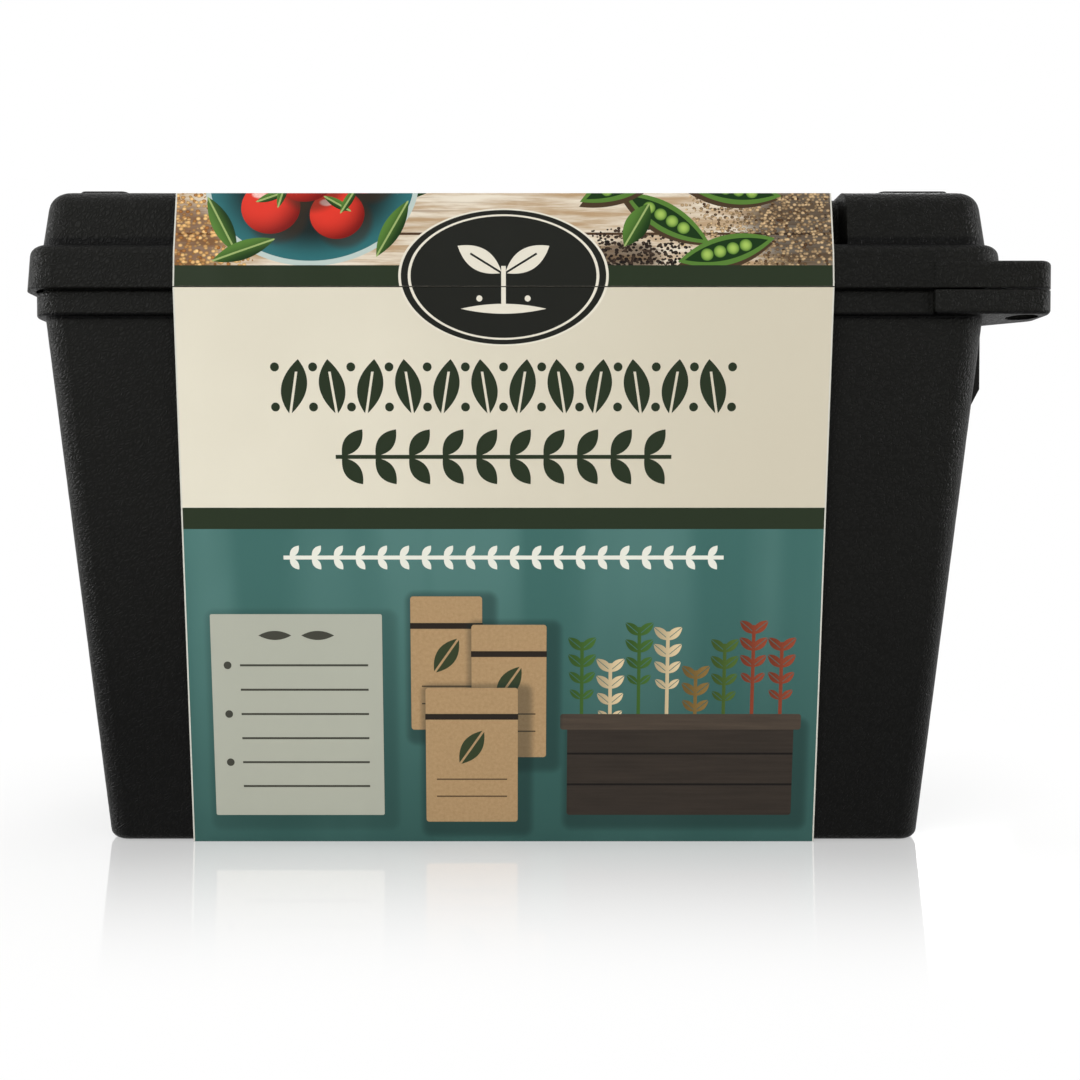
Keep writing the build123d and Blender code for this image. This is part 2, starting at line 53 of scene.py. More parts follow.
class Wire:
    """One output socket of a node tree. & is the smaller of two values, and | the larger."""

    def __init__(self, owner, socket):
        self.owner, self.socket = owner, socket

    def sum(self, operation, *parts):
        kinds = {part.socket.type for part in parts if isinstance(part, Wire)}
        if kinds & {"RGBA", "VECTOR"}:
            parts = [part if isinstance(part, Wire) else (part,) * 3 for part in parts]
        if "RGBA" in kinds:
            return self.owner.mix(1.0, *parts, blend=operation)
        kind = "ShaderNodeVectorMath" if "VECTOR" in kinds else "ShaderNodeMath"
        return self.owner.node(kind, {"operation": operation}, dict(enumerate(parts)))

    def apply(self, operation):
        return self.sum(operation, self)

    def __abs__(self):
        return self.apply("ABSOLUTE")

    def __neg__(self):
        return self.sum("SUBTRACT", 0, self)

    def __gt__(self, other):
        return self.sum("GREATER_THAN", self, other)

    def __lt__(self, other):
        return self.sum("LESS_THAN", self, other)

    __add__, __radd__ = operator_pair("ADD")
    __sub__, __rsub__ = operator_pair("SUBTRACT")
    __mul__, __rmul__ = operator_pair("MULTIPLY")
    __truediv__, __rtruediv__ = operator_pair("DIVIDE")
    __mod__, __rmod__ = operator_pair("FLOORED_MODULO")
    __and__, __rand__ = operator_pair("MINIMUM")
    __or__, __ror__ = operator_pair("MAXIMUM")


print("reflected forms:", *[name for name in vars(Wire) if name.startswith("__r")])

# %% [markdown]
# ## One way to make a node
# Every node comes from one method: its settings are set first, because they can change which
# sockets it has, and then its sockets get a value or a link. The nodes that come up again and again
# get a short name of their own on top of it.

# %% A tree whose nodes come from one method
class Tree:
    """The node tree of a material or a world."""

    def __init__(self, tree):
        self.tree = tree

    def node(self, kind, settings, inputs, output=0):
        made = self.tree.nodes.new(kind)
        for setting, value in settings.items():
            setattr(made, setting, value)
        for place, value in inputs.items():
            socket = made.inputs[place]
            if isinstance(value, Wire):
                self.tree.links.new(value.socket, socket)
            elif socket.type == "RGBA":
                socket.default_value = (*value, 1.0)
            else:
                socket.default_value = value
        return Wire(self, made.outputs[output])

    def mix(self, share, under, over, blend="MIX"):
        settings = {"data_type": "RGBA", "blend_type": blend, "clamp_factor": True}
        return self.node("ShaderNodeMix", settings, {0: share, 6: under, 7: over}, 2)

    def split(self, vector):
        apart = self.node("ShaderNodeSeparateXYZ", {}, {0: vector}).socket.node
        return [Wire(self, part) for part in apart.outputs]

    def join(self, x, y, z=0.0):
        return self.node("ShaderNodeCombineXYZ", {}, {0: x, 1: y, 2: z})

    def noise(self, spot, scale, detail=2.0, rough=0.5, output=0):
        inputs = {"Vector": spot, "Scale": scale, "Detail": detail, "Roughness": rough}
        return self.node("ShaderNodeTexNoise", {}, inputs, output)

    def cells(self, spot, scale, output="Distance", feature="F1", randomness=1.0):
        inputs = {"Vector": spot, "Scale": scale, "Randomness": randomness}
        return self.node("ShaderNodeTexVoronoi", {"feature": feature}, inputs, output)

    def fade(self, value, low, high, start=0.0, end=1.0):
        """start below low, end above high, and smooth between them."""
        inputs = {"Value": value, "From Min": low, "From Max": high, "To Min": start, "To Max": end}
        return self.node("ShaderNodeMapRange", {"interpolation_type": "SMOOTHSTEP"}, inputs)

    def seen(self):
        """1 where the camera, a glossy face or a clear one looks, and 0 for plain light."""
        path = self.node("ShaderNodeLightPath", {}, {}).socket.node
        camera, glossy, clear = [
            Wire(self, path.outputs[f"Is {kind} Ray"]) for kind in ("Camera", "Glossy", "Transmission")
        ]
        return camera | glossy | clear

    def show(self, shader):
        """Sends a shader to the tree's own output."""
        output = next(node for node in self.tree.nodes if "Output" in node.bl_idname)
        self.tree.links.new(shader.socket, output.inputs["Surface"])


print("helpers:", *[name for name in vars(Tree) if not name.startswith("_")])

# %% [markdown]
# ## Finishes and colours
# A finish is such a tree with a Principled shader at its end. What is the same all over is set on
# the shader's own sockets, and only what changes is wired. Coordinates are the solid's own, so a
# grain moves with the lid when it opens. Colours are written as on a paint chart.

# %% A material for named solids
class Finish(Tree):
    """A material with one shader, measured in millimetres."""

    def __init__(self, name, **values):
        self.material = bpy.data.materials.new(name)
        self.material.use_nodes = True
        super().__init__(self.material.node_tree)
        self.shader = self.tree.nodes["Principled BSDF"]
        self.shader.name = "surface"
        for socket, value in values.items():
            self.shader.inputs[socket.replace("_", " ")].default_value = value

    def place(self):
        """The solid's own coordinates, which move with it."""
        return self.node("ShaderNodeTexCoord", {}, {}, "Object") * per_metre

    def facing(self):
        """The way the surface faces, in the solid's own axes."""
        return self.split(self.node("ShaderNodeTexCoord", {}, {}, "Normal"))

    def round_edges(self, radius):
        """The normal of edges eased by a radius."""
        return self.node("ShaderNodeBevel", {"samples": 6}, {"Radius": radius / per_metre})

    def bump(self, height, depth, normal=None):
        """Relief whose height of 1 stands depth proud."""
        inputs = {"Height": height, "Distance": depth / per_metre, "Strength": 1.0}
        if normal is not None:
            inputs["Normal"] = normal
        return self.node("ShaderNodeBump", {}, inputs)

    def wire(self, **links):
        for socket, value in links.items():
            self.tree.links.new(value.socket, self.shader.inputs[socket.replace("_", " ")])

    def give(self, *names):
        """Puts the finish on the named solids."""
        for name in names:
            for slot in nodes[name].material_slots:
                slot.material = self.material
        print(self.material.name, "on", len(names), "solids,", len(self.tree.nodes), "nodes")


def srgb(red, green, blue):
    """A colour as a paint chart gives it, 0 to 255, in the linear numbers that shaders use."""
    shares = [channel / 255 for channel in (red, green, blue)]
    return tuple(s / 12.92 if s <= 0.04045 else ((s + 0.055) / 1.055) ** 2.4 for s in shares)


print("a mid grey of 128 is", round(srgb(128, 128, 128)[0], 3), "in a shader")

# %% [markdown]
# ## Black moulded polypropylene
# The can and the lid come from steel moulds that were etched with a leather grain: raised pebbles
# about a millimetre across with fine creases between them. The grain could be modelled, but
# millions of faces would go into a relief of a few hundredths of a millimetre. A bump does it.
# Broad, faint flow clouds keep the black alive, and the pebbles are a little smoother, as if rubbed.
# Their tops are painted a little lighter and the creases between them darker, as painted sheen and
# shade, and the wall is painted darker towards its foot, as painted shade. Under the can's band and
# round the dome's foot it is painted darker still, as painted shade, so that both steps read well.
# The lid comes from a mould of its own, which leaves it a touch duller.

# %% The grain and tone of the moulded walls
def leather(finish, spot, grain):
    """The height of pebbles with creases a grain apart and of the fine pores on them."""
    x, y, z = finish.split(spot)
    slanted = finish.join((x + y + z) * 0.55, (x + y - z) * 0.95, (x - y) * 0.4)
    drift = finish.noise(spot, 0.5, 1.0, output="Color") * 1.6
    crease = finish.cells(slanted + drift, 0.8 / grain, feature="DISTANCE_TO_EDGE")
    pores = finish.noise(spot, 3.2 / grain, 2.0, 0.6)
    return finish.fade(crease, 0.0, 0.3) * 0.7 + pores * 0.5


def moulded(name, colour, grain, depth, roughness, edge, shine=0.07, shaded_hollows=()):
    """Black polypropylene with a leather grain that is depth deep, and edges eased by edge.
    Each hollow is a height, a reach and the share by which it is painted darker, as painted shade."""
    finish = Finish(name, Specular_IOR_Level=shine)
    spot = finish.place()
    height = leather(finish, spot, grain)
    clouds = finish.fade(finish.noise(spot, 0.012), 0.3, 0.7, 0.88, 1.12)
    up = finish.split(spot)[2]
    # Painted sheen and shade: pebble tops lighter, creases darker, and the wall darker towards its
    # foot.
    tone = clouds * finish.fade(height, 0.2, 1.0, 0.76, 1.16) * finish.fade(up, 5.0, 135.0, 0.35, 1.1)
    # Painted shade: each hollow is painted darker in a band round its height.
    for level, reach, painted_shade in shaded_hollows:
        tone = tone * finish.fade(abs(up - level), reach * 0.5, reach, 1.0 - painted_shade, 1.0)
    finish.wire(
        Base_Color=finish.mix(1.0, colour, tone, "MULTIPLY"),
        Roughness=finish.fade(height, 0.2, 1.0, roughness + 0.12, roughness),
        Normal=finish.bump(height, depth, normal=finish.round_edges(edge)),
    )
    return finish


wall_black = srgb(19, 19, 17)
# Painted shade: heights, reaches and depths of the darker bands under the can's band and dome's foot.
shade_under_band, shade_at_dome_foot = (147.9, 0.95, 0.95), (167.7, 2.2, 0.8)
can_black = moulded("can_black", wall_black, grain=1.0, depth=0.17, roughness=0.34, edge=0.7,
                    shaded_hollows=[shade_under_band])
lid_black = moulded("lid_black", wall_black, grain=1.0, depth=0.16, roughness=0.34, edge=0.7,
                    shine=0.06, shaded_hollows=[shade_at_dome_foot])
can_black.give("can_body")
lid_black.give("lid_shell")

# %% [markdown]
# ## Latch and handle
# These two are moulded on their own in smoother tools, with a finer and shallower grain. The same
# recipe does, with smaller pebbles, less depth and a slightly higher roughness, which keeps their
# sheen as dull as the walls'.

# %% The finer black of the moving parts
grip_black = srgb(20, 20, 18)
latch_black = moulded("latch_black", grip_black, grain=0.5, depth=0.05, roughness=0.38, edge=0.5)
handle_black = moulded("handle_black", grip_black, grain=0.5, depth=0.05, roughness=0.36, edge=0.5)
latch_black.give("latch_lever")
handle_black.give("handle")

# %% [markdown]
# ## Gasket
# The gasket is an extruded rubber ring with a dull skin. Rubber that lies in a box picks up fine
# dust, so a noise with much detail lightens it in patches and makes it rougher there.

# %% Dusty rubber
rubber = Finish("gasket_rubber", Specular_IOR_Level=0.3)
spot = rubber.place()
dust = rubber.noise(spot, 0.35, 4.0, 0.65)
rubber.wire(
    Base_Color=rubber.mix(rubber.fade(dust, 0.45, 0.75), srgb(34, 34, 36), srgb(58, 57, 54)),
    Roughness=rubber.fade(dust, 0.3, 0.7, 0.7, 0.9),
    Normal=rubber.bump(rubber.noise(spot, 3.0, 3.0), 0.03),
)
rubber.give("lid_gasket")

# %% [markdown]
# ## Pins
# The pins are drawn steel rod. The die leaves very fine scratches along them, which is along Y
# here, so the noise is pressed together across the rod and stretched along it.

# %% Drawn steel
steel = Finish("drawn_steel", Metallic=1.0)
x, y, z = steel.split(steel.place())
across, along = 6.0, 0.15
scratch = steel.noise(steel.join(x * across, y * along, z * across), 1.0, 4.0, 0.7)
steel.wire(
    Base_Color=steel.mix(scratch, srgb(150, 150, 150), srgb(198, 197, 192)),
    Roughness=steel.fade(scratch, 0.2, 0.8, 0.24, 0.42),
    Normal=steel.bump(scratch, 0.01),
)
steel.give("hinge_pin", "latch_pin")

# %% [markdown]
# ## The printed sleeve
# The sleeve is one strip of coated board, printed flat and folded round the can. A picture could be
# laid on it, but shapes written as sums stay sharp at any distance. The print needs flat coordinates:
# u runs across the panel and v up it, and at the top crease v carries on over the lid. The back
# panel turns u round, so its print isn't a mirror image.

# %% Flat coordinates of the print
sleeve_low, sleeve_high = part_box("sleeve_lower")
sleeve_width = (sleeve_high[0] - sleeve_low[0]) * per_metre
sleeve_middle = (sleeve_low[0] + sleeve_high[0]) / 2 * per_metre
top_crease_y, above_seam = 62.16, 150.0
card = Finish("sleeve_card", Specular_IOR_Level=0.05, Coat_Roughness=0.12)
card_spot = card.place()
x, y, z = card.split(card_spot)
side = y.apply("SIGN")
u = (x - sleeve_middle) * -side
v = z + ((top_crease_y - abs(y)) | 0.0) * (z > above_seam)
print("panel", round(sleeve_width, 1), "mm wide, centre", round(sleeve_middle, 2))

# %% [markdown]
# ## Broad bands
# The panel is cream with two dark green rules, teal below and a picture strip above. Coloured bands
# are comparisons with v, painted one over the other like screens in a print shop. Ink is never quite
# even, so slow noises vary each field a little. Light is painted in as well: the cream is painted
# lighter at the left than at the right, as painted shade, and the teal is painted lighter towards the
# top and the left, with upright streaks of darker teal, as painted sheen.

# %% Cream and teal
def between(value, low, high):
    return (value > low) * (value < high)


def paint(under, mask, colour):
    return card.mix(mask, under, colour)


def slow(size_u, size_v, seed=0.0, detail=2.0):
    return card.noise(card.join(u / size_u, v / size_v, seed), 1.0, detail)


# Painted shade: the cream is painted lighter at the left of each panel and darker at the right.
cream = card.mix(card.fade(u, -90, 90), srgb(222, 216, 198), srgb(203, 195, 175))
cream = paint(cream, card.fade(slow(60, 60), 0.35, 0.7) * 0.35, srgb(204, 197, 178))
# Painted sheen: the teal is painted lighter towards the top and the left.
teal = card.mix(card.fade(v - u * 0.12, 0, 95), srgb(53, 89, 84), srgb(80, 120, 115))
teal = paint(teal, card.fade(slow(34, 34, 4.0), 0.4, 0.75) * 0.35, srgb(66, 104, 98))
# Painted sheen: upright streaks of darker teal between lighter ones stand for reflected light.
sheen_streak_teal = card.mix(card.fade(v, 0, 95), srgb(50, 86, 81), srgb(58, 100, 95))
streaks = slow(24, 400, 9.0, 1.5)
teal = paint(teal, card.fade(streaks, 0.42, 0.6) * 0.85, sheen_streak_teal)
print("cream and teal:", len(card.tree.nodes), "nodes so far")

# %% [markdown]
# ### Two rules
# The two rules part the fields. Each is a band between two heights, and what lies above the upper
# one is left to the picture strip.

# %% The green rules
green = srgb(39, 49, 33)
rule_low, rule_high = (89.8, 95.7), (155.0, 160.8)
ink = paint(teal, v > rule_low[0], green)
ink = paint(ink, v > rule_low[1], cream)
ink = paint(ink, v > rule_high[0], green)
print("rules at", rule_low, "and", rule_high, "mm")

# %% [markdown]
# ## Leaves by formula
# One pointed leaf is all that the ornament needs. Inside it, one minus the square along the leaf is
# more than the share across it. A remainder repeats the leaf along a band, so a frieze of any length
# costs as much as one leaf.

# %% A leaf, an ellipse and a repeat
def turned(p, q, degrees):
    cosine, sine = math.cos(math.radians(degrees)), math.sin(math.radians(degrees))
    return p * cosine + q * sine, q * cosine - p * sine


def leaf(p, q, half_length, half_width):
    """More than 0 inside a leaf along p."""
    along = p / half_length
    return 1.0 - along * along - abs(q) / half_width


def disc(p, q, radius_p, radius_q):
    """Under 1 inside an ellipse."""
    along, over = p / radius_p, q / radius_q
    return along * along + over * over


def repeat(value, pitch):
    """Runs from -pitch / 2 to pitch / 2, again and again."""
    return value % pitch - pitch / 2


print("inside a leaf", leaf(0.0, 0.0, 10.0, 4.0), "and beside it", leaf(0.0, 5.0, 10.0, 4.0))

# %% [markdown]
# ## Leaf friezes
# The cream field carries a row of upright leaves and a stem with pairs of leaves, and the teal
# field a finer stem. In the upright row the number of the pattern cell decides which way a leaf
# leans, and a dot stands between two leaves at their tips.

# %% Upright leaves and stems
def leaning_leaves(middle, half_height, half_width, pitch, reach):
    """A row of upright leaves with open veins that lean left and right in turn."""
    lean, half_vein, berry_radius = 0.16, 0.34, 1.2
    p, q = v - middle, repeat(u, pitch)
    way = ((u / (2 * pitch)) % 1.0 > 0.5) * 2.0 - 1.0
    q = q + p * way * lean
    vein = (abs(q) < half_vein) * (p < half_height * 0.55)
    berry_p, berry_q = abs(p) - half_height * 0.72, repeat(u + pitch / 2, pitch)
    berry = disc(berry_q, berry_p, berry_radius, berry_radius) < 1
    return (((leaf(p, q, half_height, half_width) > 0) * (1 - vein)) | berry) * (abs(u) < reach)


def stem_leaves(middle, half_height, pitch, reach):
    """A level stem with pairs of leaves."""
    half_stem, slant = 0.55, 52
    up = abs(v - middle)
    p, q = turned(repeat(u, pitch), up - half_height * 0.52, slant)
    leaves = leaf(p, q, half_height * 0.62, half_height * 0.3) > 0
    return (leaves | (up < half_stem)) * (abs(u) < reach)


upright = leaning_leaves(middle=128.45, half_height=7.45, half_width=3.5, pitch=10.35, reach=63.5)
ink = paint(ink, upright, green)
ink = paint(ink, stem_leaves(middle=109.6, half_height=7.4, pitch=9.2, reach=46.0), green)
fine_stem = stem_leaves(middle=81.9, half_height=3.3, pitch=6.1, reach=61.0)
ink = paint(ink, fine_stem, srgb(226, 226, 214))
print("three friezes drawn")

# %% [markdown]
# ## The picture strip
# A kitchen table of pale planks with a bowl of tomatoes, pea pods and loose seeds runs along the top
# and over the lid. The wood comes first: one noise that is stretched along the planks gives the pale
# grain, a second the darker veins, and a remainder of v the gaps.

# %% Planks
plank_width, plank_shift, half_gap = 27.0, 6.0, 0.35
wood = card.noise(card.join(u * 0.035, v * 0.42), 1.0, 5.0, 0.62)
veins = card.noise(card.join(u * 0.02, v * 0.9, 7.0), 1.0, 3.0)
gaps = (abs(repeat(v + plank_shift, plank_width)) < half_gap) | (abs(y) < half_gap)
strip = card.mix(card.fade(wood, 0.36, 0.66), srgb(178, 150, 116), srgb(226, 216, 198))
strip = paint(strip, card.fade(veins, 0.6, 0.72) * 0.6, srgb(134, 100, 70))
strip = paint(strip, gaps, srgb(74, 54, 38))
print("planks", plank_width, "mm wide")

# %% [markdown]
# ### Loose seeds
# Each seed is one cell of a Voronoi texture. The distance to its middle makes the grain, with a
# darker rim, and the colour of the cell, which is random, decides if the seed lies there at all and
# how ripe it is.

# %% Heaps of seeds
def lay_seeds(under, size, middle, reach, shade, dark, light):
    """A heap of seeds a size apart that thins out from its middle, over a shade of its own."""
    seed_radius = 0.56
    grid = card.join(u / size, v / (size * 0.8))
    chance, ripe = card.split(card.cells(grid, 1.0, "Color"))[:2]
    out = card.cells(grid, 1.0)
    heap = disc(u - middle[0], v - middle[1], *reach)
    lying = (out < seed_radius) * (card.fade(heap, 0.55, 3.4, 1.0, 0.0) > chance)
    colour = card.mix(ripe, dark, light) * card.fade(out, 0.2, seed_radius, 1.15, 0.55)
    under = paint(under, card.fade(heap, 0.3, 1.1, 0.85, 0.0), shade)
    return paint(under, lying, colour)


heaps = (  # size, middle, reach, shade, dark, light
    (0.95, (84, 172), (22, 16), srgb(48, 36, 28), srgb(70, 46, 28), srgb(206, 176, 134)),
    (1.0, (33, 163), (11, 5), srgb(96, 78, 60), srgb(22, 18, 16), srgb(66, 52, 42)),
    (1.15, (-86, 168), (13, 12), srgb(104, 64, 28), srgb(150, 96, 44), srgb(232, 190, 126)),
)
for heap in heaps:
    strip = lay_seeds(strip, *heap)
print("heaps of seeds:", len(heaps))

# %% [markdown]
# ### Pods and loose leaves
# A pod is three leaves one over the other: its shadow, its skin and its dark inside. The peas are
# discs that repeat along it. A loose leaf has a light side, a dark side and a pale rib.

# %% Pea pods and loose leaves
leaf_dark, leaf_bright = srgb(24, 50, 20), srgb(84, 122, 52)
rib_green, half_rib = srgb(150, 170, 104), 0.25


def blade(under, middle, degrees, half_length, half_width):
    """A green leaf with a pale middle rib."""
    p, q = turned(u - middle[0], v - middle[1], degrees)
    colour = card.mix(card.fade(q, -half_width, half_width), leaf_dark, leaf_bright)
    colour = card.mix(between(q, -half_rib, half_rib), colour, rib_green)
    return paint(under, leaf(p, q, half_length, half_width) > 0, colour)


def pod(under, middle, degrees, half_length):
    """An open pod with four peas."""
    pea_pitch, pea_radius = 3.6, 1.7
    p, q = turned(u - middle[0], v - middle[1], degrees)
    under = paint(under, leaf(p + 0.8, q + 1.2, half_length, half_length * 0.3) > 0, srgb(70, 54, 38))
    under = paint(under, leaf(p, q, half_length, half_length * 0.3) > 0, leaf_bright)
    under = paint(under, leaf(p, q, half_length * 0.86, half_length * 0.2) > 0, leaf_dark)
    pea = disc(repeat(p, pea_pitch), q, pea_radius, pea_radius)
    colour = card.mix(pea, srgb(160, 190, 92), srgb(66, 108, 38))
    return paint(under, (pea < 1) * (abs(p) < 2 * pea_pitch), colour)


pods = (((44, 174), -32), ((60, 165), 14), ((33, 184), 24), ((62, 182), -8))
for middle, degrees in pods:
    strip = pod(strip, middle, degrees, 13.5)
for middle, degrees, length in (((50, 191), -24, 12), ((36, 172), 60, 7), ((-22, 184), 28, 12)):
    strip = blade(strip, middle, degrees, length, 3.2)
print("pods:", len(pods))

# %% [markdown]
# ### The bowl
# The bowl is two ellipses, rim and inside. A tomato gets its light side, its glint and its shadow
# from ellipses too, each shifted a little from the one that cuts it out, and narrow leaves on top
# are its calyx.

# %% A bowl of tomatoes
def tomato(under, middle, radius):
    """A round fruit lit from its upper left, with its shadow at the lower right."""
    p, q = u - middle[0], v - middle[1]
    light = disc(p + radius * 0.35, q - radius * 0.4, radius * 1.2, radius * 1.2)
    glint = disc(p + radius * 0.4, q - radius * 0.45, radius * 0.3, radius * 0.16)
    shadow = disc(p - 2.0, q + 2.0, radius, radius)
    colour = card.mix(card.fade(light, 0.1, 1.5), srgb(214, 56, 42), srgb(116, 20, 16))
    colour = card.mix(card.fade(glint, 0.2, 1.0, 0.6, 0.0), colour, srgb(255, 236, 226))
    under = paint(under, card.fade(shadow, 0.7, 1.35, 0.6, 0.0), srgb(52, 38, 26))
    return paint(under, disc(p, q, radius, radius * 0.94) < 1, colour)


bowl_u, bowl_v = -52, 184
rim = disc(u - bowl_u, v - bowl_v, 29, 23.4)
bowl = disc(u - bowl_u, v - bowl_v, 27.6, 22)
glaze = card.mix(card.fade(bowl, 0.35, 1), srgb(22, 34, 33), srgb(46, 104, 108))
strip = paint(strip, rim < 1, srgb(182, 196, 190))
strip = paint(strip, bowl < 1, glaze)
tomatoes = (((-63, 177), 8.0), ((-45, 175), 7.4), ((-54, 187), 9.0), ((-38, 188), 7.6))
for middle, radius in tomatoes:
    strip = tomato(strip, middle, radius)
for middle, degrees in (((-63, 180), 20), ((-45, 178), -30), ((-60, 181), 75), ((-42, 179), 60)):
    strip = blade(strip, middle, degrees, 4.4, 1.2)
for middle, degrees in (((-76, 172), 118), ((-30, 171), 62), ((-70, 165), 20)):
    strip = blade(strip, middle, degrees, 9.0, 2.6)
print("tomatoes:", len(tomatoes), "and", len(card.tree.nodes), "nodes so far")

# %% [markdown]
# ## Herbs over the lid
# The strip carries on across the top panel, where single shapes would take many nodes. There the
# cells of one texture each place a leaf: the cell's own middle is its place, and its random colour
# turns it. The finished strip then goes over the upper rule.

# %% Scattered leaves on the top panel
herb_pitch, even, past_fold = 15.0, 0.55, 203.0
over = card.join(x / herb_pitch, y / herb_pitch, 3.0)
centre = card.cells(over, 1.0, "Position", randomness=even)
offset_x, offset_y = card.split((over - centre) * herb_pitch)[:2]
chance, turn, ripe = card.split(card.cells(over, 1.0, "Color", randomness=even))
cosine, sine = (turn * math.tau).apply("COSINE"), (turn * math.tau).apply("SINE")
herb_p = offset_x * cosine + offset_y * sine
herb_q = offset_y * cosine - offset_x * sine
herb = (leaf(herb_p, herb_q, 6.2, 2.3) > 0) * (chance > 0.45) * (v > past_fold)
herb_green = card.mix(ripe, leaf_dark, leaf_bright)
herb_green = card.mix(between(herb_q, -0.2, 0.2), herb_green, srgb(140, 160, 96))
strip = paint(strip, herb, herb_green)
ink = paint(ink, v > rule_high[1], strip)
print("herbs", herb_pitch, "mm apart")

# %% [markdown]
# ## The badge
# A dark oval with a cream line and a seedling sits over the upper rule. The seedling folds u with an
# absolute value, so one leaf formula draws both seed leaves.

# %% Oval badge with a seedling
badge_v, badge_half_u, badge_half_v = 158.0, 27.6, 18.2
badge_cream = srgb(222, 216, 200)
soil_depth, half_stalk, pebble_radius = 8.8, 0.62, 0.8
up = v - badge_v
oval = disc(u, up, badge_half_u, badge_half_v)
ink = paint(ink, oval < 1.05, badge_cream)
ink = paint(ink, oval < 1.0, srgb(30, 31, 27))
ink = paint(ink, between(oval, 0.82, 0.87), badge_cream)
p, q = turned(abs(u) - 6.4, up - 4.4, 32)
vein = (abs(q) < 0.28) * (p < 3.0)
seed_leaves = (leaf(p, q, 7.0, 3.0) > 0) * (1 - vein)
stalk = (abs(u) < half_stalk) * between(up, -8.6, 2.6)
soil = leaf(u, up + soil_depth, 11.5, 1.3) > 0
pebbles = disc(abs(u) - 6.5, up + 6.1, pebble_radius, pebble_radius) < 1
ink = paint(ink, seed_leaves | stalk | soil | pebbles, badge_cream)
print("badge", 2 * badge_half_u, "by", 2 * badge_half_v, "mm")

# %% [markdown]
# ## Planter, packets and note panel
# The lower picture has a dark wooden trough of mixed seedlings, three kraft packets with a leaf
# emblem and a pale note panel left blank with ruled lines. They are boxes and leaves again, each
# with a soft shadow under it so that it lifts off the teal.

# %% Boxes with a soft shadow
corner_radius = 0.8


def box_distance(low_u, high_u, low_v, high_v, round_by=0.0):
    """The square of the distance from a box that is round_by smaller on every side."""
    p = abs(u - (low_u + high_u) / 2) - ((high_u - low_u) / 2 - round_by) | 0.0
    q = abs(v - (low_v + high_v) / 2) - ((high_v - low_v) / 2 - round_by) | 0.0
    return p * p + q * q


def cast(under, low_u, high_u, low_v, high_v, strength=0.55):
    """A soft shadow round a box, down and to the right, that ends where the square reaches end."""
    shift, end = 1.5, 14.0
    square = box_distance(low_u + shift, high_u + shift, low_v - shift, high_v - shift)
    return paint(under, card.fade(square, 0.0, end, strength, 0.0), srgb(22, 40, 38))


def panel(under, bounds, colour, round_by=corner_radius):
    """A box with rounded corners. The hair keeps the inside of a box with sharp ones."""
    hair = 0.02
    return paint(under, box_distance(*bounds, round_by) < round_by * round_by + hair, colour)


print("corners rounded by", corner_radius, "mm")

# %% [markdown]
# ### Seedlings
# The bed repeats one cell across the trough. White noise turns the number of a cell into two random
# values: one is the seedling's height, the other its kind and colour.

# %% Seedlings
trough = (18.0, 82.0, 8.0, 35.0)
bed_low, bed_high, trough_foot, trough_rim = trough
seedling_pitch, slant = 8.0, 40
leaf_pairs = ((0.6, 2.9), (5.4, 2.9), (10.2, 2.6), (15.0, 2.2))
ink = cast(ink, *trough)
cell_u = repeat(u - bed_low, seedling_pitch)
cell_number = ((u - bed_low) / seedling_pitch).apply("FLOOR")
chance = card.node("ShaderNodeTexWhiteNoise", {"noise_dimensions": "1D"}, {"W": cell_number})
kind = card.node("ShaderNodeTexWhiteNoise", {"noise_dimensions": "1D"}, {"W": chance * 91.0})
tip = trough_rim + 15.0 + chance * 14.0
tone = card.mix(card.fade(kind, 0.3, 0.5), srgb(60, 92, 40), srgb(128, 60, 40))
tone = card.mix(card.fade(kind, 0.62, 0.7), tone, srgb(98, 132, 66))
tone = card.mix(card.fade(kind, 0.85, 0.9), tone, srgb(196, 176, 140))
growing = (abs(cell_u) < 0.5) * between(v, trough_rim, tip)
for drop, size in leaf_pairs:
    p, q = turned(abs(cell_u) - 1.75, v - tip + drop, slant)
    growing = growing | ((leaf(p, q, size, size * 0.46) > 0) * (abs(q) > 0.1))
tone = tone * card.fade(cell_u, -3.5, 3.5, 0.75, 1.25)
ink = paint(ink, growing * between(u, bed_low, bed_high) * (v > trough_rim), tone)
print("seedlings:", round((bed_high - bed_low) / seedling_pitch))

# %% [markdown]
# ### The trough
# The trough is stained board: a noise that is stretched along it gives the grain, dark lines part
# its boards, and a lighter rail closes it at the top and hides the feet of the seedlings.

# %% The trough
board_width, half_joint, rail_past = 9.0, 0.3, 2.0
grain = card.noise(card.join(u * 0.05, v * 0.8, 2.0), 1.0, 4.0, 0.6)
ink = panel(ink, trough, card.mix(grain, srgb(40, 35, 31), srgb(62, 54, 47)))
inside = between(v, trough_foot + 1.0, trough_rim - 1.0) * between(u, bed_low, bed_high)
board_joints = abs(repeat(v - trough_foot, board_width)) > board_width / 2 - half_joint
ink = paint(ink, board_joints * inside, srgb(24, 21, 19))
rail = (bed_low - rail_past, bed_high + rail_past, trough_rim - 2.0, trough_rim + 2.5)
ink = panel(ink, rail, card.mix(grain, srgb(54, 47, 41), srgb(86, 74, 63)))
print("trough", bed_high - bed_low, "mm long")

# %% [markdown]
# ### Packets
# A packet is kraft paper with a dark line under its flap, a leaf emblem and two rules to write on.
# The three lie over one another, so they are painted from the back to the front.

